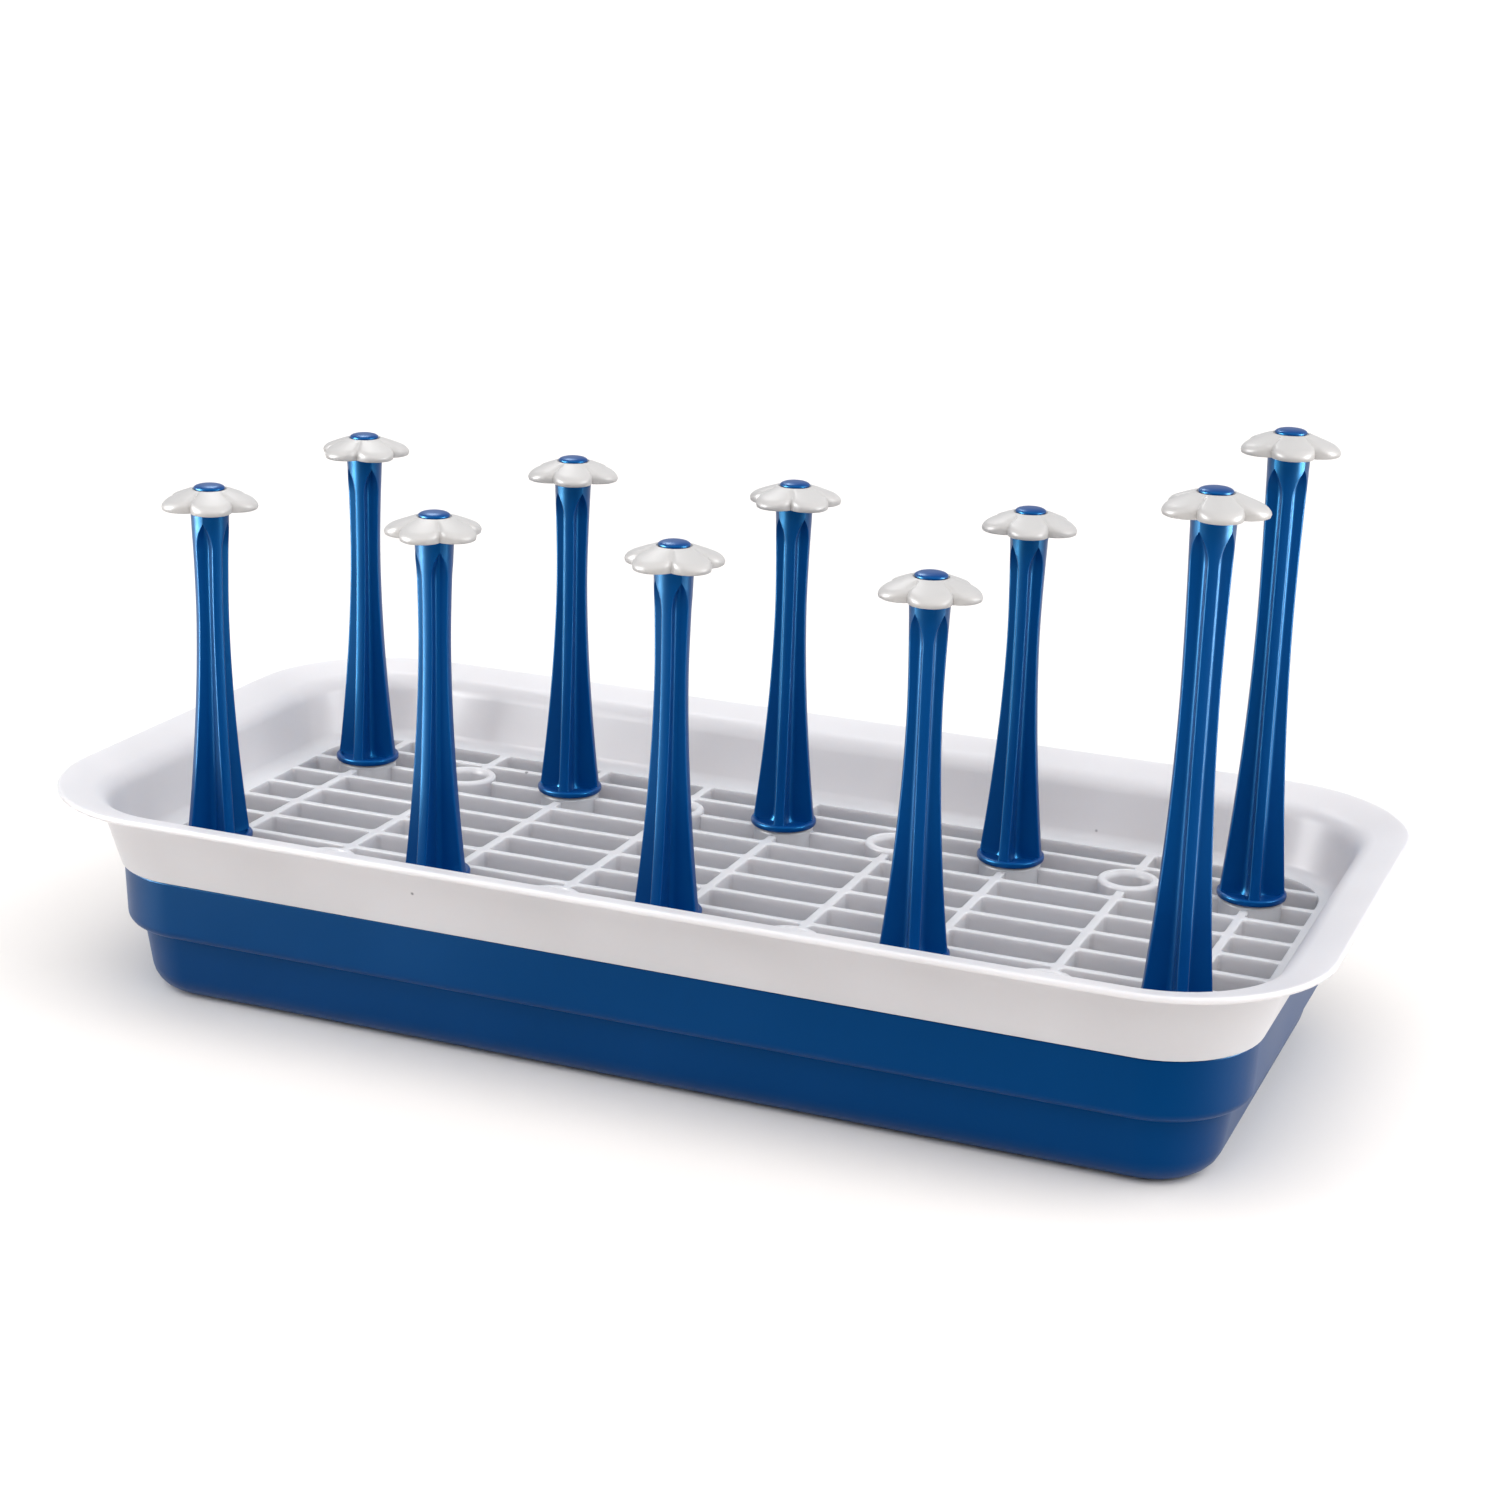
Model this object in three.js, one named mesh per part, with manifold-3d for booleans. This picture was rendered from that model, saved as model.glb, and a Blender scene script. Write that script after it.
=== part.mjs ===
// Bottle drying rack: a drip tray, a flared basket that sits on it, and ten pegs that stand in the
// basket's sockets. Each peg is a fluted stem, a five-petal cap and a domed button that pins the cap.
// Millimetres, +Z up. The origin is on the floor under the middle of the tray, +X along its length.

import * as THREE from 'three';
import { mergeVertices } from 'three/addons/utils/BufferGeometryUtils.js';
import Module from 'manifold-3d';

const wasm = await Module();
wasm.setup();

// ---------- driving dimensions ----------
const RIM_LENGTH = 400;       // over the flared rim, along X
const RIM_WIDTH = 203;        // over the flared rim, along Y
const RIM_CORNER = 48;        // plan radius of the rim's corners
const RIM_TOP = 68;           // lip's height above the floor
const FLARE_ANGLE = 14;       // degrees that the rim rises outwards
const SEAT_Z = 45.8;          // plane that the pegs' flanges sit on
const SKIRT_BOTTOM = 42;      // lower edge of the basket's outer skirt, which rests on the tray
const GAP = 0.3;              // air between pieces that touch

const PEG_PITCH = 77.5;       // between pegs along a row
const ROW_SPACING = 95;       // between the two rows of sockets
const COLUMNS = 5;            // pegs in a row
const SHORT_PEG = 114;        // button top above the seat plane
const TALL_PEG = 146;

const SLAT_PITCH = ROW_SPACING / 6;
const RIB_PITCH = PEG_PITCH / 2;
const SLAT_COUNT = 9;
const RIB_COUNT = 9;
const SLAT_THICK = 2.2;
const RIB_THICK = 2.8;
const GRID_TOP = SEAT_Z - 1.5;
const GRID_DEPTH = 10;
const GRID_INSET = 25.6;      // border's inner face, in from the rim's outline
const FRAME_INSET = 22.6;     // border's outer face, which drops inside the tray's rim
const SOCKET_OUTER = 19.4;    // diameters
const SOCKET_BORE = 13;

const FLANGE = 21.4;          // diameters of the peg
const FLANGE_THICK = 2.2;
const SPIGOT = SOCKET_BORE - 0.8;
const SPIGOT_LENGTH = 10.5;
const FOOT = 20.4;
const WAIST = 10.1;
const TALL_WAIST = 10.8;
const HEAD_SWELL = 1.8;       // how much wider the head is than the waist
const FIN_THICK = 3.6;        // each of the stem's four fins
const PIN = 4;                // button's shank
const PIN_LENGTH = 9;
const PIN_BORE = PIN + 1.2;   // measured over the bore's corners
const BUTTON = 9.5;
const BUTTON_RISE = 1.7;      // button's seat below its top
const BUTTON_SINK = 0.3;      // how deep the button's seat lies in the cap
const RECESS = BUTTON + 1.1;  // cap's recess round the button, measured over its corners
const CAP_SPAN = 30;          // circle round the petals
const PETALS = 5;
const PETAL_RADIUS = 6.3;
const PETAL_DROOP = 6.1;      // tips' lower edge below the cap's crown
const HEAD_DROP = 7.6;        // stem's top below the button's top
const GROOVE_DROP = 11.5;     // grooves' pointed ends below the button's top
const GROOVE_ARCH = 9;        // height over which a groove runs out into its point
const HOLLOW_Z = 1.5;         // flange's face inside its raised edge, above the seat plane

const TRAY_WALL = 2.2;
const TRAY_FLOOR_INSET = 39;  // edge of the tray's flat bottom, in from the rim's outline
const TRAY_FILLET = 9.5;      // round between the bottom and the lower band
const BAND_INSET = 25;        // top of the tray's lower band
const STEP_Z = 22.5;          // ledge between the lower and the upper band
const SKIRT_INSET = 18.7;     // skirt's outer face at its lower edge
const RIM_THICK = 2.3;
const RIM_INNER = 14.8;       // where the flare turns down into the basket's inner wall
const RIM_ROUND = 8;          // round on that turn
const WALL_FOOT = 20.6;       // where the inner wall meets the floor
const FOOT_ROUND = 4;

const ARC_STEPS = 5;          // facets in a plan corner
const SOCKET_STEPS = 16;      // facets round a socket
const PEG_STEPS = 12;         // facets round a peg's flange, spigot and button
const PIN_STEPS = 6;

const WHITE = { color: 0xe9e9ec, roughness: 0.38, metalness: 0 };
const CAP_WHITE = { color: 0xefedea, roughness: 0.35, metalness: 0 };
const BLUE = { color: 0x004a9c, roughness: 0.22, metalness: 0 };
const TRAY_BLUE = { color: 0x003f80, roughness: 0.2, metalness: 0 };

// ---------- solids ----------
function solidOf(geometry) {
  geometry.deleteAttribute('normal');
  geometry.deleteAttribute('uv');
  const merged = mergeVertices(geometry, 1e-4);
  return new wasm.Manifold(new wasm.Mesh({
    numProp: 3,
    vertProperties: new Float32Array(merged.attributes.position.array),
    triVerts: new Uint32Array(merged.index.array),
  }));
}

function geometryOf(solid) {
  const mesh = solid.getMesh();
  const geometry = new THREE.BufferGeometry();
  geometry.setAttribute('position', new THREE.BufferAttribute(mesh.vertProperties, 3));
  geometry.setIndex(new THREE.BufferAttribute(mesh.triVerts, 1));
  geometry.computeVertexNormals();
  return geometry;
}

// Joins rings of equal length, bottom to top on the outside, and closes both ends with a fan.
// With looped set, the last ring joins the first instead, for a frame with a hole through it.
function stack(rings, looped = false) {
  const count = rings[0].length;
  const points = rings.flat();
  const faces = [];
  const bands = looped ? rings.length : rings.length - 1;
  for (let k = 0; k < bands; k++) {
    const low = k * count;
    const high = ((k + 1) % rings.length) * count;
    for (let i = 0; i < count; i++) {
      const j = (i + 1) % count;
      faces.push(low + i, low + j, high + j, low + i, high + j, high + i);
    }
  }
  if (!looped) {
    for (const [ring, base, up] of [[rings[0], 0, false], [rings.at(-1), points.length - count, true]]) {
      const centre = new THREE.Vector3();
      ring.forEach((p) => centre.add(p));
      const tip = points.push(centre.divideScalar(count)) - 1;
      for (let i = 0; i < count; i++) {
        const j = (i + 1) % count;
        faces.push(...(up ? [tip, base + i, base + j] : [tip, base + j, base + i]));
      }
    }
  }
  const geometry = new THREE.BufferGeometry().setFromPoints(points);
  geometry.setIndex(faces);
  return geometry;
}

function cylinder(diameter, z0, z1, steps, x = 0, y = 0) {
  const geometry = new THREE.CylinderGeometry(diameter / 2, diameter / 2, z1 - z0, steps);
  geometry.rotateX(Math.PI / 2);
  geometry.translate(x, y, (z0 + z1) / 2);
  return solidOf(geometry);
}

function box(sizeX, sizeY, sizeZ, x, y, z) {
  const geometry = new THREE.BoxGeometry(sizeX, sizeY, sizeZ);
  geometry.translate(x, y, z);
  return solidOf(geometry);
}

// ---------- plan outline: the rim's rounded rectangle, moved in by an inset ----------
function outline(inset, z) {
  const radius = Math.max(RIM_CORNER - inset, 4);
  const cornerX = RIM_LENGTH / 2 - inset - radius;
  const cornerY = RIM_WIDTH / 2 - inset - radius;
  const ring = [];
  [[1, -1, -90], [1, 1, 0], [-1, 1, 90], [-1, -1, 180]].forEach(([sx, sy, start]) => {
    for (let k = 0; k <= ARC_STEPS; k++) {
      const angle = THREE.MathUtils.degToRad(start + (90 * k) / ARC_STEPS);
      ring.push(new THREE.Vector3(
        sx * cornerX + radius * Math.cos(angle),
        sy * cornerY + radius * Math.sin(angle),
        z,
      ));
    }
  });
  return ring;
}

const outlines = (section) => section.map(([inset, z]) => outline(inset, z));

function fillet(inset, z, radius) {
  const points = [];
  for (let k = 0; k <= 3; k++) {
    const angle = THREE.MathUtils.degToRad(28 * k);
    points.push([inset - radius * Math.sin(angle), z + radius * (1 - Math.cos(angle))]);
  }
  return points;
}

// Rounds the corner of the path before-corner-after with an arc.
function bend(before, corner, after, radius, steps) {
  const middle = new THREE.Vector2(...corner);
  const back = new THREE.Vector2(...before).sub(middle).normalize();
  const ahead = new THREE.Vector2(...after).sub(middle).normalize();
  const half = Math.acos(back.dot(ahead)) / 2;
  const centre = back.clone().add(ahead).setLength(radius / Math.sin(half)).add(middle);
  const start = back.clone().setLength(radius / Math.tan(half)).add(middle);
  const sweep = (Math.PI - 2 * half) * (back.cross(ahead) > 0 ? -1 : 1);
  const points = [];
  for (let k = 0; k <= steps; k++) {
    const point = start.clone().rotateAround(centre, (sweep * k) / steps);
    points.push([point.x, point.y]);
  }
  return points;
}

function dripTray() {
  const top = SKIRT_BOTTOM - GAP;
  const rim = SKIRT_INSET + 0.8;
  const step = SKIRT_INSET + 1.3;
  const outside = [
    ...fillet(TRAY_FLOOR_INSET, 0, TRAY_FILLET),
    [BAND_INSET + 1.2, STEP_Z - 1.8], [BAND_INSET, STEP_Z],
    [step + 2.4, STEP_Z + 0.3], [step + 0.6, STEP_Z + 1.8], [step, STEP_Z + 4.4],
    [rim, top],
  ];
  const inside = [
    ...fillet(TRAY_FLOOR_INSET + 1, TRAY_WALL, TRAY_FILLET - 0.8),
    [BAND_INSET + 1.2 + TRAY_WALL, STEP_Z + 0.2], [BAND_INSET + TRAY_WALL, STEP_Z + 2],
    [step + 3.4, STEP_Z + 3], [step + TRAY_WALL, STEP_Z + 5],
    [rim + TRAY_WALL, top + 1],
  ];
  return solidOf(stack(outlines(outside))).subtract(solidOf(stack(outlines(inside))));
}

// ---------- basket: flared rim, sloping wall, slotted floor and sockets ----------
function flareZ(inset) {
  return RIM_TOP - inset * Math.tan(THREE.MathUtils.degToRad(FLARE_ANGLE));
}

function basketWall() {
  const gridBottom = GRID_TOP - GRID_DEPTH;
  const turn = [RIM_INNER, flareZ(RIM_INNER)];
  const foot = [WALL_FOOT, GRID_TOP];
  const border = [GRID_INSET, GRID_TOP];
  const lip = [[0.3, flareZ(0.3) - 1.7], [0, flareZ(0) - 0.8], [0.6, flareZ(0.6) + 0.1]];
  const innerFace = [
    ...bend(lip.at(-1), turn, foot, RIM_ROUND, 3), ...bend(turn, foot, border, FOOT_ROUND, 2),
    border, [GRID_INSET, gridBottom],
  ];
  const underside = [[FRAME_INSET, gridBottom], [FRAME_INSET, SKIRT_BOTTOM]];
  const skirt = [[SKIRT_INSET, SKIRT_BOTTOM], [12.7, flareZ(12.7) - RIM_THICK]];
  return solidOf(stack(outlines([...lip, ...innerFace, ...underside, ...skirt]), true));
}

function socketCentres() {
  const centres = [];
  for (const row of [-1, 1]) {
    for (let i = 0; i < RIB_COUNT; i++) {
      centres.push([(i - (RIB_COUNT - 1) / 2) * RIB_PITCH, (row * ROW_SPACING) / 2]);
    }
  }
  return centres;
}

function basketFloor() {
  const mid = GRID_TOP - GRID_DEPTH / 2;
  const parts = [];
  for (let i = 0; i < SLAT_COUNT; i++) {
    const y = (i - (SLAT_COUNT - 1) / 2) * SLAT_PITCH;
    parts.push(box(RIM_LENGTH, SLAT_THICK, GRID_DEPTH, 0, y, mid));
  }
  for (let i = 0; i < RIB_COUNT; i++) {
    const x = (i - (RIB_COUNT - 1) / 2) * RIB_PITCH;
    parts.push(box(RIB_THICK, RIM_WIDTH, GRID_DEPTH, x, 0, mid));
  }
  const bottom = GRID_TOP - GRID_DEPTH;
  const centres = socketCentres();
  centres.forEach(([x, y]) => parts.push(cylinder(SOCKET_OUTER, bottom, SEAT_Z - GAP, SOCKET_STEPS, x, y)));
  const bores = centres.map(([x, y]) => cylinder(SOCKET_BORE, bottom - 1, SEAT_Z + 1, SOCKET_STEPS, x, y));
  const inside = solidOf(stack(outlines([[GRID_INSET - 0.9, bottom], [GRID_INSET - 0.9, SEAT_Z]])));
  return wasm.Manifold.union(parts).intersect(inside).subtract(wasm.Manifold.union(bores));
}

// ---------- peg, drawn with its seat plane at z = 0 ----------
// Silhouette radius: a round head, a waist two thirds of the way up, and a trumpet foot.
function stemRadius(z, top) {
  const tall = (top - SHORT_PEG) / (TALL_PEG - SHORT_PEG);
  const waist = THREE.MathUtils.lerp(WAIST, TALL_WAIST, tall) / 2;
  const headZ = top - HEAD_DROP;
  const waistZ = 0.66 * headZ + THREE.MathUtils.lerp(5, 1, tall);
  if (z > waistZ) {
    const headCurve = 1.6;
    return waist + (HEAD_SWELL / 2) * ((z - waistZ) / (headZ - waistZ)) ** headCurve;
  }
  const footCurve = THREE.MathUtils.lerp(1.8, 1.95, tall);
  return waist + (FOOT / 2 - waist) * ((waistZ - z) / waistZ) ** footCurve;
}

// Cross-section at one height: four fins with hollows between them, or round where open is 0.
function stemRing(z, radius, open) {
  const half = Math.asin(FIN_THICK / 2 / radius);
  const hollow = THREE.MathUtils.lerp(radius, 0.3 * radius + 1.3, open);
  const ring = [];
  for (let fin = 0; fin < 4; fin++) {
    const middle = (fin * Math.PI) / 2;
    const rest = Math.PI / 2 - 2 * half;
    for (const [angle, r] of [
      [middle - half, radius], [middle + half, radius],
      [middle + half + 0.33 * rest, hollow], [middle + half + 0.67 * rest, hollow],
    ]) {
      ring.push(new THREE.Vector3(r * Math.cos(angle), r * Math.sin(angle), z));
    }
  }
  return ring;
}

function pegStem(top) {
  const headZ = top - HEAD_DROP;
  const grooveZ = top - GROOVE_DROP;
  const levels = [0.1, 0.24, 0.42, 0.68].map((part) => part * grooveZ);
  const rings = [0.8, ...levels, grooveZ - GROOVE_ARCH].map((z) => stemRing(z, stemRadius(z, top), 1));
  for (const z of [grooveZ, headZ]) {
    rings.push(stemRing(z, stemRadius(z, top), 0));
  }
  const flange = new THREE.LatheGeometry([
    [0, 0], [FLANGE / 2 - 0.7, 0], [FLANGE / 2, 0.9], [FLANGE / 2 - 0.6, FLANGE_THICK],
    [FLANGE / 2 - 1.8, HOLLOW_Z], [0, HOLLOW_Z],
  ].map(([r, z]) => new THREE.Vector2(r, z)), PEG_STEPS);
  flange.rotateX(Math.PI / 2);
  return solidOf(stack(rings))
    .add(solidOf(flange))
    .add(cylinder(SPIGOT, -SPIGOT_LENGTH, 0.5, PEG_STEPS))
    .subtract(cylinder(PIN_BORE, top - BUTTON_RISE - PIN_LENGTH - 1, headZ + 1, PIN_STEPS));
}

// Petal outline: the outer edge of five circles spaced round the centre, scaled about it.
function petalRing(scale, z) {
  const reach = CAP_SPAN / 2 - PETAL_RADIUS;
  const valley = reach * Math.cos(Math.PI / PETALS)
    + Math.sqrt(PETAL_RADIUS ** 2 - (reach * Math.sin(Math.PI / PETALS)) ** 2);
  const ring = [];
  for (let petal = 0; petal < PETALS; petal++) {
    const axis = (petal * 2 * Math.PI) / PETALS;
    ring.push(new THREE.Vector3(
      scale * valley * Math.cos(axis - Math.PI / PETALS),
      scale * valley * Math.sin(axis - Math.PI / PETALS),
      z,
    ));
    for (const swing of [-55, 0, 55]) {
      const angle = axis + THREE.MathUtils.degToRad(swing);
      ring.push(new THREE.Vector3(
        scale * (reach * Math.cos(axis) + PETAL_RADIUS * Math.cos(angle)),
        scale * (reach * Math.sin(axis) + PETAL_RADIUS * Math.sin(angle)),
        z,
      ));
    }
  }
  return ring;
}

function petalCap(top) {
  const crown = top - BUTTON_RISE + BUTTON_SINK;
  const rings = [
    [0.25, crown - PETAL_DROOP + 0.6], [0.9, crown - PETAL_DROOP], [1, crown - PETAL_DROOP + 1.4],
    [0.7, crown - 2], [0.38, crown],
  ].map(([scale, z]) => petalRing(scale, z));
  const bore = cylinder(PIN_BORE, crown - PETAL_DROOP - 1, crown + 1, PIN_STEPS);
  const recess = cylinder(RECESS, crown - BUTTON_SINK - GAP, crown + 1, PEG_STEPS);
  return solidOf(stack(rings)).subtract(bore).subtract(recess);
}

function capButton(top) {
  const seat = top - BUTTON_RISE;
  const profile = [
    [0, seat - PIN_LENGTH], [PIN / 2, seat - PIN_LENGTH], [PIN / 2, seat], [BUTTON / 2 - 0.3, seat],
    [BUTTON / 2, seat + 0.6], [BUTTON / 2 - 1.6, top - 0.4], [0, top],
  ];
  const geometry = new THREE.LatheGeometry(profile.map(([r, z]) => new THREE.Vector2(r, z)), PEG_STEPS);
  geometry.rotateX(Math.PI / 2);
  return solidOf(geometry);
}

// ---------- assembly ----------
function piece(name, solid, look) {
  const mesh = new THREE.Mesh(geometryOf(solid), new THREE.MeshStandardMaterial(look));
  mesh.name = name;
  return mesh;
}

const rack = new THREE.Group();
rack.add(piece('drip_tray', dripTray(), TRAY_BLUE));
rack.add(piece('basket', basketWall().add(basketFloor()), WHITE));

// Turns of each stem and each cap, in degrees: round sockets let them stand at any angle.
const TURNS = {
  front: { stem: [53, -2, 0, 18, 20], cap: [17, 55, 37, 0, 5] },
  back: { stem: [7, 11, 10, 1, 15], cap: [34, 7, 33, 67, 0] },
};

for (const [row, side] of [['front', -1], ['back', 1]]) {
  for (let column = 1; column <= COLUMNS; column++) {
    const top = column === COLUMNS ? TALL_PEG : SHORT_PEG;
    const peg = new THREE.Group();
    peg.position.set((column - (COLUMNS + 1) / 2) * PEG_PITCH, (side * ROW_SPACING) / 2, SEAT_Z);
    const stem = piece(`stem_${row}_${column}`, pegStem(top), BLUE);
    stem.rotation.z = THREE.MathUtils.degToRad(TURNS[row].stem[column - 1]);
    const cap = piece(`petals_${row}_${column}`, petalCap(top), CAP_WHITE);
    cap.rotation.z = THREE.MathUtils.degToRad(TURNS[row].cap[column - 1]);
    peg.add(stem, cap, piece(`button_${row}_${column}`, capButton(top), BLUE));
    rack.add(peg);
  }
}

export default rack;
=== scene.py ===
import cmath
import math

import bpy
from mathutils import Matrix, Vector


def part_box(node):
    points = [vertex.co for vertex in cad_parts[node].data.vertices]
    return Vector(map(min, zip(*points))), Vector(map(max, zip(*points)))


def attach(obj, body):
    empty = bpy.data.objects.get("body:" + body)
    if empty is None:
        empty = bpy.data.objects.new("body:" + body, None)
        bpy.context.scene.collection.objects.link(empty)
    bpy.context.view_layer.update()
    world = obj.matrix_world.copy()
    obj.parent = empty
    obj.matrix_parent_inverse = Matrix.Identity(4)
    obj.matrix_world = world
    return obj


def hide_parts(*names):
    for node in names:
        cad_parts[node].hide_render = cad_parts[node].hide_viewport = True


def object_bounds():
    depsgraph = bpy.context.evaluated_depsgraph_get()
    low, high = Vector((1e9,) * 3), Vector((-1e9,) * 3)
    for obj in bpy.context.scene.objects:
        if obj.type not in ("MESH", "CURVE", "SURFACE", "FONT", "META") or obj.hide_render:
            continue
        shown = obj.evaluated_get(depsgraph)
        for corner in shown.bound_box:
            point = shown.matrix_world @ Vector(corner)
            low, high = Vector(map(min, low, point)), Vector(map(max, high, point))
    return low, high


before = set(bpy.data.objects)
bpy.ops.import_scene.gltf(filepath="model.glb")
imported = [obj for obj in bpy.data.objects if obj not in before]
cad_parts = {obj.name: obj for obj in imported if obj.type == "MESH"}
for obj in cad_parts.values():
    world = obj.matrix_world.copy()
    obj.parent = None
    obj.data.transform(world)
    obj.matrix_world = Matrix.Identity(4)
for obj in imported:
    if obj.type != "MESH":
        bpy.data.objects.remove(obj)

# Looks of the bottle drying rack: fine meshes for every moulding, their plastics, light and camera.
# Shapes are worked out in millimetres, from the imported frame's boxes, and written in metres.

cad_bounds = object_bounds()

MM = 0.001
COLUMNS = range(1, 6)
PEGS = [f"{row}_{column}" for row in ("front", "back") for column in COLUMNS]


def box_mm(node):
    lo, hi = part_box(node)
    return lo / MM, hi / MM


# ---------- dimensions taken from the frame ----------
basket_lo, basket_hi = box_mm("basket")
tray_top = box_mm("drip_tray")[1].z
peg_boxes = {peg: box_mm(f"stem_{peg}") for peg in PEGS}
peg_centres = {peg: (lo + hi) / 2 for peg, (lo, hi) in peg_boxes.items()}

RIM_LENGTH = basket_hi.x - basket_lo.x
RIM_WIDTH = basket_hi.y - basket_lo.y
RIM_TOP = basket_hi.z
GRID_BOTTOM = basket_lo.z
SPIGOT_LENGTH = 10.5
SEAT_Z = peg_boxes["front_1"][0].z + SPIGOT_LENGTH
PEG_PITCH = peg_centres["front_2"].x - peg_centres["front_1"].x
ROW_SPACING = peg_centres["back_1"].y - peg_centres["front_1"].y

# ---------- the mouldings' own dimensions, as in the CAD ----------
GAP = 0.3
RIM_CORNER = 48
FLARE_SLOPE = math.tan(math.radians(14))
RIM_THICK = 2.3
RIM_INNER = 14.8
RIM_ROUND = 8
WALL_FOOT = 20.6
FOOT_ROUND = 4
GRID_INSET = 25.6
FRAME_INSET = 22.6
GRID_TOP = GRID_BOTTOM + 10
SLAT_PITCH = ROW_SPACING / 6
RIB_PITCH = PEG_PITCH / 2
SLAT_THICK = 2.2
RIB_THICK = 2.8
GRID_LINES = 9                # slats, and as many ribs
SKIRT_INSET = 18.7
SKIRT_BOTTOM = 42
STEP_Z = 22.5
BAND_INSET = 25
TRAY_WALL = 2.2
TRAY_FLOOR_INSET = 39
TRAY_FILLET = 9.5
TRAY_RIM_INSET = SKIRT_INSET + 0.8
BAND_TOP_INSET = SKIRT_INSET + 1.3
SOCKET = 9.7                  # radii of a socket, its bore and the bore's mouth
BORE = 6.5
BORE_MOUTH = 7.6
FLOOR_OVERLAP = 0.9           # how far the floor reaches into the border

CORNER_STEPS = 16             # facets in a plan corner
FILLET_STEPS = 6              # facets in a rounded edge
ROUND_STEPS = 64              # facets round a socket, flange or button


# ---------- mesh helpers ----------
def new_object(name, points, faces):
    mesh = bpy.data.meshes.new(name)
    mesh.from_pydata([Vector(p) * MM for p in points], [], faces)
    mesh.update()
    obj = bpy.data.objects.new(name, mesh)
    bpy.context.scene.collection.objects.link(obj)
    return obj


def loft(name, rings, looped=False):
    """Joins rings of equal length, outside faces running upwards, and closes both ends unless looped."""
    count = len(rings[0])
    points = [p for ring in rings for p in ring]
    faces = []
    for k in range(len(rings) if looped else len(rings) - 1):
        low = k * count
        high = (k + 1) % len(rings) * count
        for i in range(count):
            j = (i + 1) % count
            faces.append((low + i, low + j, high + j, high + i))
    if not looped:
        faces.append(tuple(reversed(range(count))))
        faces.append(tuple(range(len(points) - count, len(points))))
    return new_object(name, points, faces)


def rounded(corners, closed=False, steps=FILLET_STEPS):
    """A polyline through corners (x, y, radius), each corner turned into an arc of that radius."""
    points = []
    count = len(corners)
    for i, (x, y, radius) in enumerate(corners):
        here = Vector((x, y))
        if radius == 0 or (not closed and i in (0, count - 1)):
            points.append(here)
            continue
        before = (Vector(corners[i - 1][:2]) - here).normalized()
        after = (Vector(corners[(i + 1) % count][:2]) - here).normalized()
        half = before.angle(after) / 2
        centre = here + (before + after).normalized() * radius / math.sin(half)
        start = here + before * radius / math.tan(half) - centre
        sweep = math.pi - 2 * half
        if before.cross(after) > 0:
            sweep = -sweep
        for k in range(steps + 1):
            points.append(centre + Matrix.Rotation(sweep * k / steps, 2) @ start)
    return points


def plan(inset, z):
    """The rim's rounded rectangle, moved in by an inset."""
    radius = max(RIM_CORNER - inset, 4)
    corner_x = RIM_LENGTH / 2 - inset - radius
    corner_y = RIM_WIDTH / 2 - inset - radius
    ring = []
    for side_x, side_y, start in ((1, -1, -90), (1, 1, 0), (-1, 1, 90), (-1, -1, 180)):
        for k in range(CORNER_STEPS + 1):
            angle = math.radians(start + 90 * k / CORNER_STEPS)
            x = side_x * corner_x + radius * math.cos(angle)
            y = side_y * corner_y + radius * math.sin(angle)
            ring.append((x, y, z))
    return ring


def lathe(name, profile, steps=ROUND_STEPS):
    """A turned solid from (radius, z) points, bottom to top; the first and last lie on the axis."""
    turned = [(r, z) for r, z in profile if r > 0]
    rings = []
    for r, z in turned:
        angles = (2 * math.pi * k / steps for k in range(steps))
        rings.append([(r * math.cos(a), r * math.sin(a), z) for a in angles])
    return loft(name, rings)


def moved(obj, x, y, z=0):
    obj.data.transform(Matrix.Translation(Vector((x, y, z)) * MM))
    return obj


def joined(name, parts):
    """Several meshes that don't meet, as one object."""
    points = []
    faces = []
    for part in parts:
        first = len(points)
        points += [v.co / MM for v in part.data.vertices]
        faces += [[first + i for i in p.vertices] for p in part.data.polygons]
        bpy.data.objects.remove(part)
    return new_object(name, points, faces)


def carve(obj, operation, tool):
    """Joins the tool on to obj, cuts it away, or keeps what both hold."""
    modifier = obj.modifiers.new(operation, "BOOLEAN")
    modifier.operation = operation
    modifier.solver = "MANIFOLD"
    modifier.object = tool
    applied(obj)
    bpy.data.objects.remove(tool)
    return obj


def applied(obj):
    """obj with its modifiers made part of its mesh."""
    evaluated = obj.evaluated_get(bpy.context.evaluated_depsgraph_get())
    mesh = bpy.data.meshes.new_from_object(evaluated)
    obj.modifiers.clear()
    obj.data = mesh
    return obj


def smooth(obj, angle=35):
    obj.data.shade_smooth()
    obj.data.set_sharp_from_angle(angle=math.radians(angle))
    weighted = obj.modifiers.new("weighted_normals", "WEIGHTED_NORMAL")
    weighted.keep_sharp = True
    return obj


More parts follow.
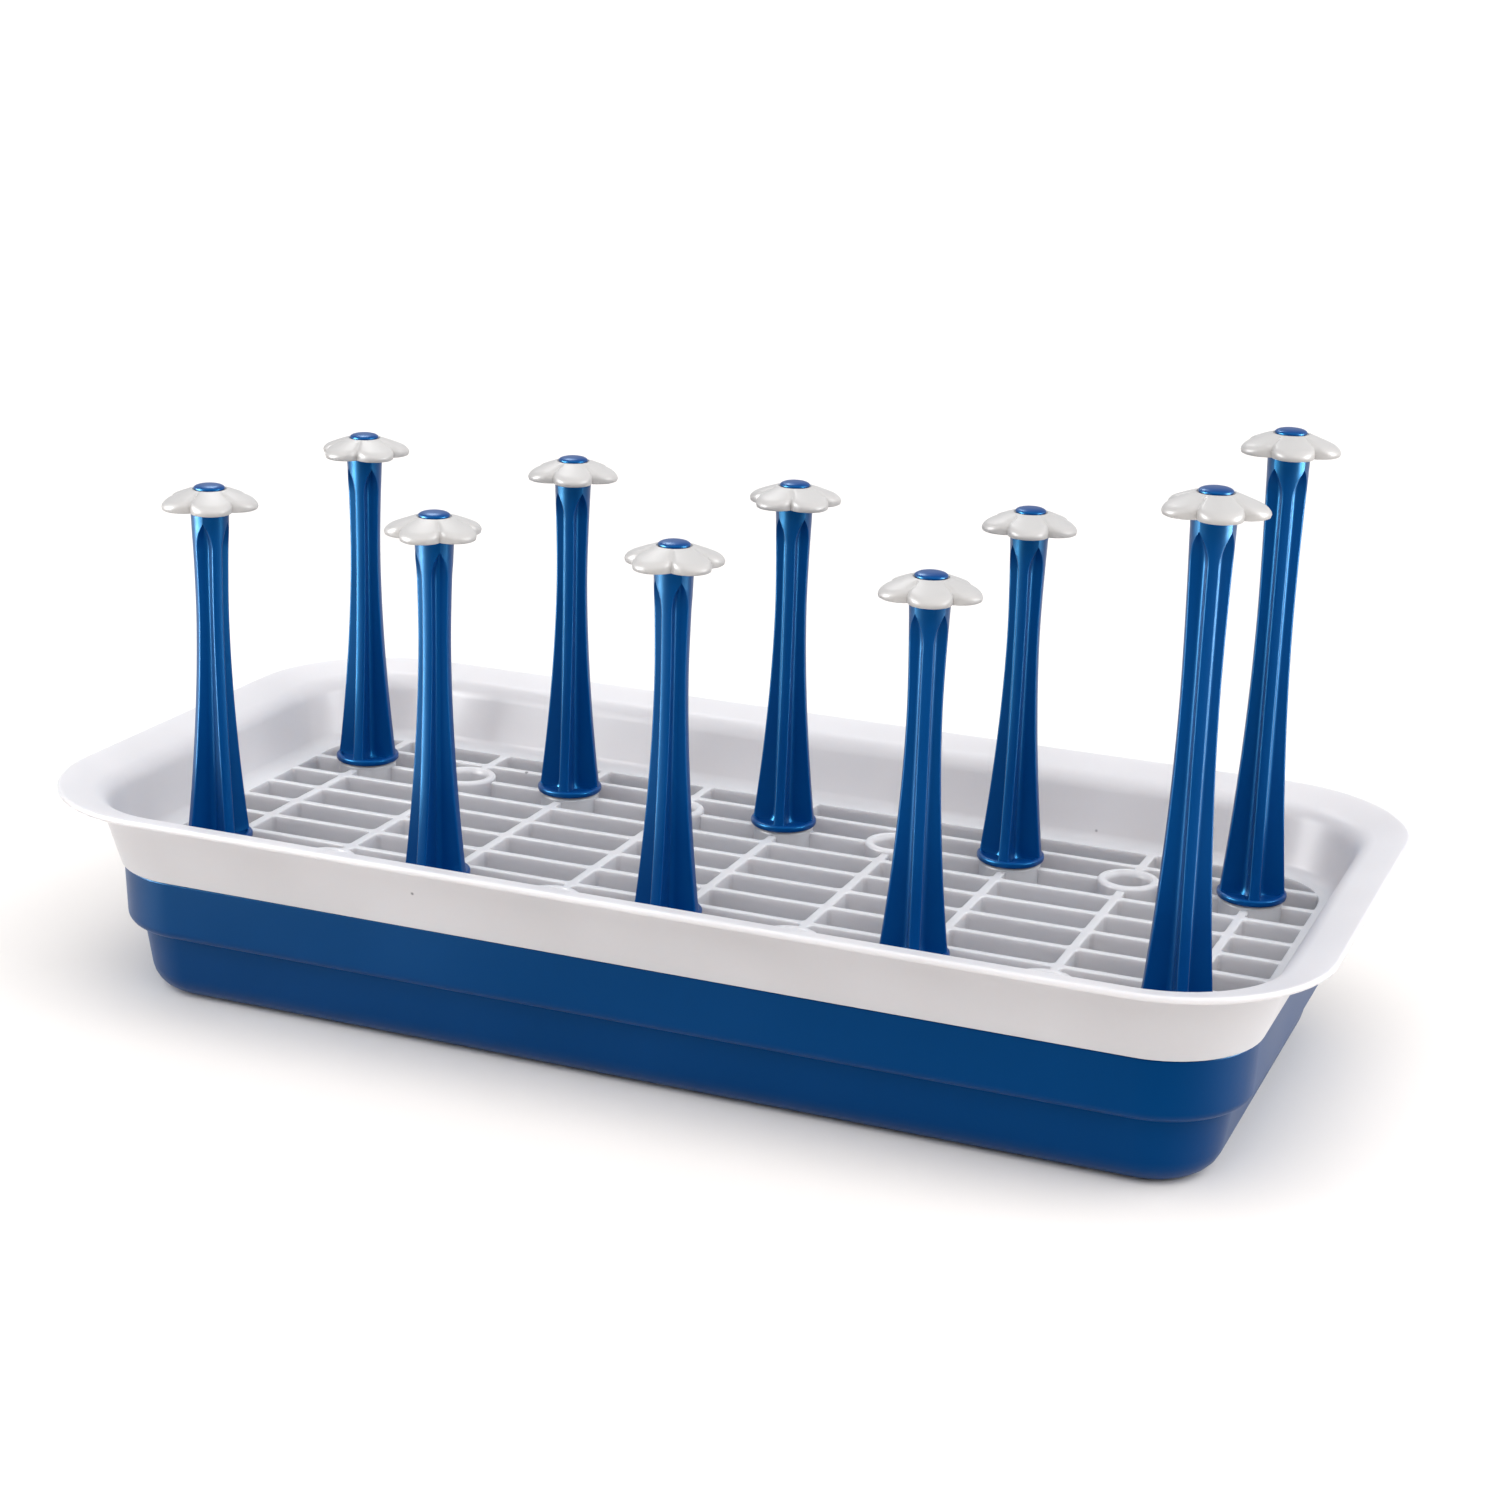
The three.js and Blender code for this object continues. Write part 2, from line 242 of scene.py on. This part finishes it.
# ---------- drip tray ----------
def make_tray():
    """The stepped tray, lofted from its outside up to the rim and down its inside."""
    rim = TRAY_RIM_INSET
    step = BAND_TOP_INSET
    outside = rounded([
        (TRAY_FLOOR_INSET, 0, 0), (BAND_INSET + 3.4, 0, TRAY_FILLET), (BAND_INSET, STEP_Z, 0.9),
        (step + 0.2, STEP_Z + 0.3, 3.4), (rim, tray_top, 0.4), (rim + TRAY_WALL / 2, tray_top, 0),
    ])
    inside = rounded([
        (TRAY_FLOOR_INSET + 1, TRAY_WALL, 0), (BAND_INSET + 5.6, TRAY_WALL, TRAY_FILLET - 0.8),
        (BAND_INSET + 2.4, STEP_Z + 2.4, 1.8), (step + 2.2, STEP_Z + 2.7, 2),
        (rim + TRAY_WALL, tray_top, 0.4), (rim + TRAY_WALL / 2, tray_top, 0),
    ])
    rings = [plan(*p) for p in outside + inside[::-1][1:]]
    return smooth(loft("tray_moulding", rings))


# ---------- basket ----------
def flare_z(inset):
    """Height of the flared rim's upper face at an inset."""
    return RIM_TOP + 0.05 - inset * FLARE_SLOPE


def basket_wall():
    """Rim, sloping wall, the floor's border and the skirt, as one closed section swept round the plan."""
    section = rounded([
        (0, flare_z(0) - 1.9, 0.85), (0, flare_z(0) + 0.1, 0.85),
        (RIM_INNER, flare_z(RIM_INNER), RIM_ROUND), (WALL_FOOT, GRID_TOP, FOOT_ROUND),
        (GRID_INSET, GRID_TOP, 0.4), (GRID_INSET, GRID_BOTTOM, 0.4), (FRAME_INSET, GRID_BOTTOM, 0.6),
        (FRAME_INSET, SKIRT_BOTTOM, 0.4), (SKIRT_INSET, SKIRT_BOTTOM, 0.6),
        (12.5, flare_z(12.5) - RIM_THICK, 3.2),
    ], closed=True, steps=8)
    return loft("basket_moulding", [plan(*p) for p in section], looped=True)


def grown(outline, distance):
    """A closed outline moved out by a distance."""
    grown_points = []
    count = len(outline)
    for i, p in enumerate(outline):
        before = (p - outline[i - 1]).normalized()
        after = (outline[(i + 1) % count] - p).normalized()
        normal = Vector((before.y + after.y, -before.x - after.x)).normalized()
        grown_points.append(p + normal * distance)
    return grown_points


def cell(x0, x1, y0, y1):
    """The space of one opening in the floor: rounded corners, and an eased edge at top and bottom."""
    corner = 1.4
    ease = 0.5
    outline = rounded([(x0, y0, corner), (x1, y0, corner), (x1, y1, corner), (x0, y1, corner)], closed=True)
    rings = [[(p.x, p.y, GRID_BOTTOM - 2) for p in outline]]
    for k in range(FILLET_STEPS + 1):
        angle = math.pi / 2 * k / FILLET_STEPS
        outset = ease * (1 - math.cos(angle))
        z = GRID_TOP - ease + ease * math.sin(angle)
        rings.append([(p.x, p.y, z) for p in grown(outline, outset)])
    rings.append([(p.x, p.y, GRID_TOP + 2) for p in grown(outline, ease)])
    return loft("cell", rings)


def grid_edges(pitch, thick, outer):
    """Start and end of each opening between the grid's lines, out to the border on both sides."""
    lines = [(i - (GRID_LINES - 1) / 2) * pitch for i in range(GRID_LINES)]
    starts = [-outer] + [line + thick / 2 for line in lines]
    ends = [line - thick / 2 for line in lines] + [outer]
    return list(zip(starts, ends))


def socket_centres():
    """The eighteen sockets, one at each rib in the two rows; the pegs take every other one."""
    for side in (-1, 1):
        for i in range(GRID_LINES):
            yield (i - (GRID_LINES - 1) / 2) * RIB_PITCH, side * ROW_SPACING / 2


def make_basket():
    """The wall joined with the slotted floor and its sockets."""
    cells = []
    for x0, x1 in grid_edges(RIB_PITCH, RIB_THICK, RIM_LENGTH / 2 - GRID_INSET + 0.1):
        for y0, y1 in grid_edges(SLAT_PITCH, SLAT_THICK, RIM_WIDTH / 2 - GRID_INSET + 0.1):
            cells.append(cell(x0, x1, y0, y1))
    inside = loft("inside", [plan(GRID_INSET, GRID_BOTTOM - 3), plan(GRID_INSET, GRID_TOP + 3)])
    openings = carve(joined("openings", cells), "INTERSECT", inside)
    floor_edge = GRID_INSET - FLOOR_OVERLAP
    floor = loft("floor", [plan(floor_edge, GRID_BOTTOM), plan(floor_edge, GRID_TOP)])
    carve(floor, "DIFFERENCE", openings)

    top = SEAT_Z - GAP
    socket = [(0, GRID_BOTTOM)] + [tuple(p) for p in rounded([
        (SOCKET, GRID_BOTTOM, 0), (SOCKET, top, 1), (BORE + 0.7, top, 0)])]
    bore = [(0, GRID_BOTTOM - 1)] + [tuple(p) for p in rounded([
        (BORE, GRID_BOTTOM - 1, 0), (BORE, top - 1.1, 2), (BORE_MOUTH, top, 0.6),
        (BORE_MOUTH, top + 1, 0)])]
    sockets = [moved(lathe("socket", socket), x, y) for x, y in socket_centres()]
    bores = [moved(lathe("bore", bore), x, y) for x, y in socket_centres()]
    basket = basket_wall()
    carve(basket, "UNION", floor)
    carve(basket, "UNION", joined("sockets", sockets))
    carve(basket, "DIFFERENCE", joined("bores", bores))
    return smooth(basket, 32)


# ---------- pegs, each made with its seat plane at z = 0 ----------
FLANGE = 10.7                 # radii
FOOT = 10.2
SHORT_WAIST = 5.05
TALL_WAIST = 5.4
SPIGOT = 6.1
HEAD_SWELL = 0.9
FIN = 1.65                    # half of a fin's thickness
FIN_EDGE = 0.6                # round on a fin's edges
FIN_SPREAD = 0.4              # added at the foot
FACE_STEPS = 3                # facets on half a fin's face, round its edge, and in half a groove
EDGE_STEPS = 4
GROOVE_STEPS = 7
GROOVE_ROUND = 0.6            # a groove's radius, its growth with the stem's, and what its scoop adds
GROOVE_GROWTH = 0.13
SCOOP_ROUND = 0.7
GROOVE_CLOSED = 0.03          # share of a groove's width left at the arch's point
PIN = 2
BUTTON = 4.75
BUTTON_RISE = 1.7
BUTTON_SINK = 0.3
RECESS = 5.2
PIN_LENGTH = 9
DISH_Z = 1.4                  # the flange's hollow, where the fins start
SCOOP_FADE = 1.1              # height over which the grooves' scooped foot dies out
HEAD_DROP = 7.6
GROOVE_DROP = 11.5
GROOVE_ARCH = 9
SHORT_TOP = 114
TALL_TOP = 146


def mixed(a, b, share):
    return a + (b - a) * share


def stem_radius(z, top):
    """The stem's silhouette: a round head, a waist, and a trumpet foot."""
    tall = (top - SHORT_TOP) / (TALL_TOP - SHORT_TOP)
    waist = mixed(SHORT_WAIST, TALL_WAIST, tall)
    head_z = top - HEAD_DROP
    waist_z = 0.66 * head_z + mixed(5, 1, tall)
    if z > waist_z:
        return waist + HEAD_SWELL * ((z - waist_z) / (head_z - waist_z)) ** 1.6
    return waist + (FOOT - waist) * ((waist_z - z) / waist_z) ** mixed(1.8, 1.95, tall)


def eighth(radius, fin, groove):
    """An eighth of a stem's section, from a fin's middle to a groove's, as (radius, angle) points."""
    across = fin - FIN_EDGE
    reach = math.sqrt((radius - FIN_EDGE) ** 2 - across ** 2)
    corner = math.atan2(across, reach)
    middle = fin + groove
    points = [(radius, corner * k / FACE_STEPS) for k in range(FACE_STEPS)]
    sides = []
    for k in range(EDGE_STEPS + 1):
        angle = mixed(corner, math.pi / 2, k / EDGE_STEPS)
        sides.append((reach + FIN_EDGE * math.cos(angle), across + FIN_EDGE * math.sin(angle)))
    sides.append(((reach + middle) / 2, fin))
    for k in range(GROOVE_STEPS + 1):
        angle = -math.pi / 2 - math.pi / 4 * k / GROOVE_STEPS
        sides.append((middle + groove * math.cos(angle), middle + groove * math.sin(angle)))
    return corner, points + [(math.hypot(x, y), math.atan2(y, x)) for x, y in sides]


def stem_ring(z, top):
    """Four fins with concave grooves between them. Each groove narrows to a pointed arch under the head."""
    radius = stem_radius(z, top)
    near_base = math.exp(-max(z - DISH_Z, 0) / SCOOP_FADE)
    groove = GROOVE_ROUND + GROOVE_GROWTH * radius + SCOOP_ROUND * near_base
    corner, points = eighth(radius, FIN + FIN_SPREAD * near_base, groove)
    open_share = min(max((top - GROOVE_DROP - z) / GROOVE_ARCH, 0), 1)
    width = max(open_share * (2 - open_share), GROOVE_CLOSED)
    depth = (open_share * (2 - open_share)) ** 0.7
    half_groove = (math.pi / 4 - corner) * width
    shaped = []
    for r, angle in points:
        if angle <= corner:
            angle *= (math.pi / 4 - half_groove) / corner
        else:
            angle = math.pi / 4 - (math.pi / 4 - angle) * width
        shaped.append((radius - (radius - r) * depth, angle))
    mirrored = [(r, math.pi / 2 - angle) for r, angle in shaped[-2:0:-1]]
    ring = []
    for quarter in range(4):
        for r, angle in shaped + mirrored:
            turn = angle + quarter * math.pi / 2
            ring.append((r * math.cos(turn), r * math.sin(turn), z))
    return ring


def stem_mesh(name, top):
    """A stem with its flange, spigot and pin hole; its rings lie closer at the foot and under the head."""
    head_z = top - HEAD_DROP
    groove_z = top - GROOVE_DROP
    arch_z = groove_z - GROOVE_ARCH
    levels = [0.9, 1.3, 1.6, 1.9, 2.3, 2.8, 3.4, 4.2, 5.2, 6.5, 8]
    levels += [mixed(8, arch_z, k / 26) for k in range(1, 27)]
    levels += [mixed(arch_z, groove_z, k / 18) for k in range(1, 19)]
    levels += [mixed(groove_z, head_z - 0.4, k / 3) for k in range(1, 4)]
    rings = [stem_ring(z, top) for z in levels]
    rings.append([(0.93 * x, 0.93 * y, head_z) for x, y, z in rings[-1]])
    stem = loft(name, rings)
    flange = rounded([
        (SPIGOT, -SPIGOT_LENGTH, 0), (SPIGOT, 0, 0.4), (FLANGE, 0, 0.9), (FLANGE, 2.2, 0.75),
        (FLANGE - 1.8, 2.2, 0.7), (FLANGE - 2.2, DISH_Z, 0.5), (4, DISH_Z, 0),
    ])
    flange = [(SPIGOT - 0.5, -SPIGOT_LENGTH)] + [tuple(p) for p in flange]
    carve(stem, "UNION", lathe("flange", flange))
    bore = [(PIN + 0.3, top - BUTTON_RISE - PIN_LENGTH - 1), (PIN + 0.3, head_z + 1)]
    carve(stem, "DIFFERENCE", lathe("bore", bore, 32))
    return smooth(stem, 40)


def button_mesh(name, top):
    """A domed button and the pin that holds the cap on the stem."""
    seat = top - BUTTON_RISE
    side = 0.45
    profile = [(PIN - 0.4, seat - PIN_LENGTH), (PIN, seat - PIN_LENGTH + 0.5)]
    profile += [tuple(p) for p in rounded([
        (PIN, seat - 1, 0), (PIN, seat, 0.2), (BUTTON, seat, 0.3), (BUTTON, seat + side, 0)])]
    dome = BUTTON_RISE - side
    for k in range(1, 15):
        angle = math.pi / 2 * k / 15
        profile.append((BUTTON * math.cos(angle) ** 0.75, seat + side + dome * math.sin(angle)))
    return smooth(lathe(name, profile), 50)


# ---------- flower cap ----------
PETALS = 5
PETAL_TIP = 15                # radius over the petals
PETAL_ROUND = 6.3
PETAL_DROOP = 6.1
PETAL_FALL = 3.6              # from the crown to a tip, before the brim
CREASE_WIDTH = 0.12           # share of half a petal
PUFF = 0.75
BRIM = 1.4                    # height and start of the rounded rim
BRIM_START = 0.77
CAP_STEPS = 160


def petal_edge(angle):
    """Distance from the axis to the flower's outline, and how far towards the next notch, from 0 to 1."""
    reach = PETAL_TIP - PETAL_ROUND
    sector = 2 * math.pi / PETALS
    off = abs((angle + sector / 2) % sector - sector / 2)
    here = reach * math.cos(off) + math.sqrt(PETAL_ROUND ** 2 - (reach * math.sin(off)) ** 2)
    return here, off / (sector / 2)


def cap_mesh(name, crown):
    """One closed body: out from the bore over a recess for the button, round the petals and back below."""
    bore = PIN + 0.3
    recess = BUTTON_SINK + GAP
    tops = [(bore, 0, recess), (RECESS - 0.3, 0, recess), (RECESS, 0, recess - 0.3), (RECESS, 0, 0.12),
            (RECESS + 0.15, 0, 0.02)]
    tops += [(RECESS + 0.3, share, 0) for share in
             (0, 0.1, 0.2, 0.3, 0.4, 0.5, 0.6, 0.7, 0.77, 0.83, 0.88, 0.925, 0.96, 0.985, 1)]
    rings = []
    for start, share, drop in tops:
        ring = []
        for k in range(CAP_STEPS):
            angle = 2 * math.pi * k / CAP_STEPS
            edge, off = petal_edge(angle)
            r = mixed(start, edge, share)
            out = max(r - RECESS, 0) / (PETAL_TIP - RECESS)
            slope = PETAL_FALL * out ** 1.2
            started = min(out * 5, 1)
            crease = (0.25 + 0.75 * out) * started * math.exp(-((1 - off) / CREASE_WIDTH) ** 2)
            puff = PUFF * started * off ** 2 * out ** 0.5
            rolled = max((share - BRIM_START) / (1 - BRIM_START), 0)
            brim = BRIM * (1 - math.sqrt(1 - rolled ** 2))
            z = crown - drop - slope - crease - puff - brim
            ring.append((r * math.cos(angle), r * math.sin(angle), z))
        rings.append(ring)
    for share, droop in ((0.98, 5.75), (0.94, 6), (0.88, PETAL_DROOP), (0.7, 5.9), (0.4, 5.6), (0, 5.5)):
        ring = []
        for k in range(CAP_STEPS):
            angle = 2 * math.pi * k / CAP_STEPS
            r = mixed(bore, petal_edge(angle)[0], share)
            ring.append((r * math.cos(angle), r * math.sin(angle), crown - droop))
        rings.append(ring)
    return smooth(loft(name, rings[::-1], looped=True), 60)


def turn_of(node, centre, lobes, z_range):
    """How far a node with that many equal lobes is turned about its own upright axis."""
    total = 0
    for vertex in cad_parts[node].data.vertices:
        x, y, z = vertex.co / MM
        if z_range[0] < z < z_range[1]:
            arm = complex(x - centre.x, y - centre.y)
            if abs(arm) > 1:
                total += abs(arm) ** 8 * (arm / abs(arm)) ** lobes
    return cmath.phase(total) / lobes


def place(mesh_source, name, centre, turn):
    """A piece that shares a master's mesh, standing at a socket and turned about its own axis."""
    obj = bpy.data.objects.new(name, mesh_source.data)
    bpy.context.scene.collection.objects.link(obj)
    for modifier in mesh_source.modifiers:
        copy = obj.modifiers.new(modifier.name, modifier.type)
        copy.keep_sharp = modifier.keep_sharp
    obj.location = Vector((centre.x, centre.y, SEAT_Z)) * MM
    obj.rotation_euler.z = turn
    return obj


# ---------- materials ----------
CLOUD_SCALE = 22
GRAIN_SCALE = 700
GRAIN_DEPTH = 0.0003
SPECK_SCALE = 44
SPECK_CORE = 0.018            # where a speck starts to fade, and where it ends
SPECK_EDGE = 0.034
SPECK_COLOUR = (0.12, 0.12, 0.13, 1)


def plastic(name, colour, roughness, specular, grain, sheen_tint=(1, 1, 1), specks=0.0, subsurface=0.0):
    """Moulded plastic: faint flow clouds in colour and gloss, fine surface grain, and a few dark specks."""
    material = bpy.data.materials.new(name)
    material.use_nodes = True
    nodes = material.node_tree.nodes
    links = material.node_tree.links
    shader = nodes["Principled BSDF"]
    shader.inputs["Specular IOR Level"].default_value = specular
    shader.inputs["Specular Tint"].default_value = (*sheen_tint, 1)
    if subsurface:
        shader.inputs["Subsurface Weight"].default_value = subsurface
        shader.inputs["Subsurface Radius"].default_value = (1, 0.9, 0.85)
        shader.inputs["Subsurface Scale"].default_value = 0.005
    place_in = nodes.new("ShaderNodeTexCoord").outputs["Object"]

    clouds = nodes.new("ShaderNodeTexNoise")
    clouds.inputs["Scale"].default_value = CLOUD_SCALE
    clouds.inputs["Detail"].default_value = 1
    links.new(place_in, clouds.inputs["Vector"])
    tint = nodes.new("ShaderNodeValToRGB")
    tint.color_ramp.interpolation = "EASE"
    tint.color_ramp.elements[0].position = 0.1
    tint.color_ramp.elements[0].color = (*[c * 0.95 for c in colour], 1)
    tint.color_ramp.elements[1].position = 0.9
    tint.color_ramp.elements[1].color = (*[c * 1.05 for c in colour], 1)
    links.new(clouds.outputs["Fac"], tint.inputs["Fac"])
    colour_out = tint.outputs["Color"]

    if specks:
        dots = nodes.new("ShaderNodeTexVoronoi")
        dots.inputs["Scale"].default_value = SPECK_SCALE
        links.new(place_in, dots.inputs["Vector"])
        spot = nodes.new("ShaderNodeMapRange")
        spot.inputs["From Min"].default_value = SPECK_CORE
        spot.inputs["From Max"].default_value = SPECK_EDGE
        spot.inputs["To Min"].default_value = specks
        spot.inputs["To Max"].default_value = 0
        links.new(dots.outputs["Distance"], spot.inputs["Value"])
        marked = nodes.new("ShaderNodeMix")
        marked.data_type = "RGBA"
        marked.inputs["B"].default_value = SPECK_COLOUR
        links.new(spot.outputs["Result"], marked.inputs["Factor"])
        links.new(colour_out, marked.inputs["A"])
        colour_out = marked.outputs["Result"]
    links.new(colour_out, shader.inputs["Base Color"])

    gloss = nodes.new("ShaderNodeMapRange")
    gloss.inputs["To Min"].default_value = roughness - 0.05
    gloss.inputs["To Max"].default_value = roughness + 0.07
    links.new(clouds.outputs["Fac"], gloss.inputs["Value"])
    links.new(gloss.outputs["Result"], shader.inputs["Roughness"])

    fine = nodes.new("ShaderNodeTexNoise")
    fine.inputs["Scale"].default_value = GRAIN_SCALE
    fine.inputs["Detail"].default_value = 2
    links.new(place_in, fine.inputs["Vector"])
    bump = nodes.new("ShaderNodeBump")
    bump.inputs["Strength"].default_value = grain
    bump.inputs["Distance"].default_value = GRAIN_DEPTH
    links.new(fine.outputs["Fac"], bump.inputs["Height"])
    links.new(bump.outputs["Normal"], shader.inputs["Normal"])
    return material


def finish_piece(piece, body, node, material):
    """Dresses a piece in its material, ties it to its body and hides the node it stands for."""
    piece.data.materials.clear()
    piece.data.materials.append(material)
    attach(piece, body)
    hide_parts(node)


# ---------- assembly ----------
BLUE_TINT = (0.04, 0.5, 1.0)
white = plastic("basket_white", (0.63, 0.62, 0.63), 0.4, 0.2, 0.05, specks=0.8, subsurface=0.8)
petal_white = plastic("petal_white", (0.50, 0.485, 0.47), 0.42, 0.25, 0.04, subsurface=0.15)
peg_blue = plastic("peg_blue", (0.0, 0.038, 0.18), 0.33, 0.5, 0.03, sheen_tint=BLUE_TINT)
tray_blue = plastic("tray_blue", (0.0, 0.034, 0.14), 0.34, 0.2, 0.04, sheen_tint=BLUE_TINT)

finish_piece(make_tray(), "tray", "drip_tray", tray_blue)
finish_piece(make_basket(), "basket", "basket", white)

for kind, first in (("short", "front_1"), ("tall", "front_5")):
    top = box_mm(f"button_{first}")[1].z - SEAT_Z
    crown = top - BUTTON_RISE + BUTTON_SINK
    masters = {
        "stem": (stem_mesh(f"{kind}_stem", top), "peg_blue", peg_blue),
        "petals": (cap_mesh(f"{kind}_cap", crown), "petal_white", petal_white),
        "button": (button_mesh(f"{kind}_button", top), "peg_blue", peg_blue),
    }
    for peg in PEGS:
        if peg.endswith("5") != (kind == "tall"):
            continue
        centre = peg_centres[peg]
        turns = {
            "stem": turn_of(f"stem_{peg}", centre, 4, (SEAT_Z + 3, SEAT_Z + top / 2)),
            "petals": turn_of(f"petals_{peg}", centre, PETALS, (0, SEAT_Z + crown + 1)),
            "button": 0,
        }
        for part, (master, slot, material) in masters.items():
            piece = place(master, f"{part}_{peg}_moulding", centre, turns[part])
            finish_piece(piece, f"peg_{peg}", f"{part}_{peg}", material)
    for master, _, _ in masters.values():
        bpy.data.objects.remove(master)

# ---------- floor, light and camera ----------
FLOOR_SIZE = 30
FLOOR_DROP = 0.0002           # keeps the floor clear of the tray's bottom
FLOOR_COLOUR = (0.87, 0.83, 0.79, 1)
VIEW_AZIMUTH = math.radians(21.67)
VIEW_ELEVATION = math.radians(17.11)
VIEW_ROLL = math.radians(1.74)
CAMERA_AT = Vector((0.3140, -0.7744, 0.3413))
LENS = 68.0
# The dome's tone goes from low to high with a share of each direction's side, back and up parts.
DOME_LOW = (0.16, 0.15, 0.14)
DOME_HIGH = (0.64, 0.66, 0.70)
DOME_SIDES = 0.5
DOME_BACK = 0.45
DOME_UP = 0.9
DOME_LEVEL = 0.3


def make_floor():
    half = FLOOR_SIZE / 2 / MM
    floor = new_object("floor", [(-half, -half, 0), (half, -half, 0), (half, half, 0), (-half, half, 0)],
                       [(0, 1, 2, 3)])
    floor.location.z = cad_bounds[0][2] - FLOOR_DROP
    material = bpy.data.materials.new("floor_paper")
    material.use_nodes = True
    shader = material.node_tree.nodes["Principled BSDF"]
    shader.inputs["Base Color"].default_value = FLOOR_COLOUR
    shader.inputs["Roughness"].default_value = 0.9
    shader.inputs["Specular IOR Level"].default_value = 0.1
    floor.data.materials.append(material)


def make_world():
    """A plain studio dome: cool and bright overhead, dimmer and warmer low down where the camera stands."""
    world = bpy.data.worlds.new("studio")
    bpy.context.scene.world = world
    world.use_nodes = True
    nodes = world.node_tree.nodes
    links = world.node_tree.links
    turn = nodes.new("ShaderNodeVectorRotate")
    turn.rotation_type = "Z_AXIS"
    turn.inputs["Angle"].default_value = -VIEW_AZIMUTH
    links.new(nodes.new("ShaderNodeTexCoord").outputs["Generated"], turn.inputs["Vector"])
    split = nodes.new("ShaderNodeSeparateXYZ")
    links.new(turn.outputs["Vector"], split.inputs["Vector"])

    def math_node(operation, a, b=0.0):
        node = nodes.new("ShaderNodeMath")
        node.operation = operation
        for socket, value in zip(node.inputs, (a, b)):
            if isinstance(value, (int, float)):
                socket.default_value = value
            else:
                links.new(value, socket)
        return node.outputs[0]

    sides = math_node("MULTIPLY", math_node("ABSOLUTE", split.outputs["X"]), DOME_SIDES)
    back = math_node("MULTIPLY", split.outputs["Y"], DOME_BACK)
    up = math_node("MULTIPLY", split.outputs["Z"], DOME_UP)
    share = math_node("ADD", math_node("ADD", sides, back), math_node("ADD", up, DOME_LEVEL))
    tones = nodes.new("ShaderNodeValToRGB")
    tones.color_ramp.elements[0].color = (*DOME_LOW, 1)
    tones.color_ramp.elements[1].color = (*DOME_HIGH, 1)
    links.new(share, tones.inputs["Fac"])
    links.new(tones.outputs["Color"], nodes["Background"].inputs["Color"])


def sun(name, towards, power, spread):
    """A wide, even light; towards points at it, and spread is its angle in degrees."""
    data = bpy.data.lights.new(name, "SUN")
    data.energy = power
    data.angle = math.radians(spread)
    light = bpy.data.objects.new(name, data)
    bpy.context.scene.collection.objects.link(light)
    light.rotation_euler = Vector(towards).to_track_quat("Z", "Y").to_euler()


def highlight_lamp(name, at, size, power, aim):
    """A soft lamp that only draws highlights, so that it leaves the even studio light as it is."""
    data = bpy.data.lights.new(name, "AREA")
    data.shape = "RECTANGLE"
    data.size, data.size_y = size
    data.energy = power
    light = bpy.data.objects.new(name, data)
    bpy.context.scene.collection.objects.link(light)
    light.location = at
    light.rotation_euler = (Vector(aim) - Vector(at)).to_track_quat("-Z", "Y").to_euler()
    light.visible_diffuse = False


def make_camera():
    """Looks from the front right, a little from above, with the picture's slight roll."""
    data = bpy.data.cameras.new("camera")
    data.lens = LENS
    data.sensor_width = 36
    back = Vector((
        math.sin(VIEW_AZIMUTH) * math.cos(VIEW_ELEVATION),
        -math.cos(VIEW_AZIMUTH) * math.cos(VIEW_ELEVATION),
        math.sin(VIEW_ELEVATION),
    ))
    right = Vector((math.cos(VIEW_AZIMUTH), math.sin(VIEW_AZIMUTH), 0))
    up = back.cross(right)
    turned_right = right * math.cos(VIEW_ROLL) + up * math.sin(VIEW_ROLL)
    turned_up = up * math.cos(VIEW_ROLL) - right * math.sin(VIEW_ROLL)
    camera = bpy.data.objects.new("camera", data)
    bpy.context.scene.collection.objects.link(camera)
    axes = Matrix((turned_right, turned_up, back)).transposed().to_4x4()
    camera.matrix_world = Matrix.Translation(CAMERA_AT) @ axes
    bpy.context.scene.camera = camera


make_floor()
make_world()
sun("front_light", (0.2, -0.5, 1), 2.1, 70)
sun("side_light", (0.9, 0.25, 0.55), 1.0, 60)
highlight_lamp("left_strip", (-0.6, -0.4, 0.25), (0.3, 0.5), 48, (0, 0, 0.15))
highlight_lamp("right_strip", (0.72, 0.05, 0.25), (0.25, 0.5), 26, (0, 0, 0.15))
highlight_lamp("high_lamp", (-0.5, 0.6, 1.0), (0.3, 0.3), 5, (0, 0, 0.1))
make_camera()
bpy.context.scene.view_settings.view_transform = "Standard"
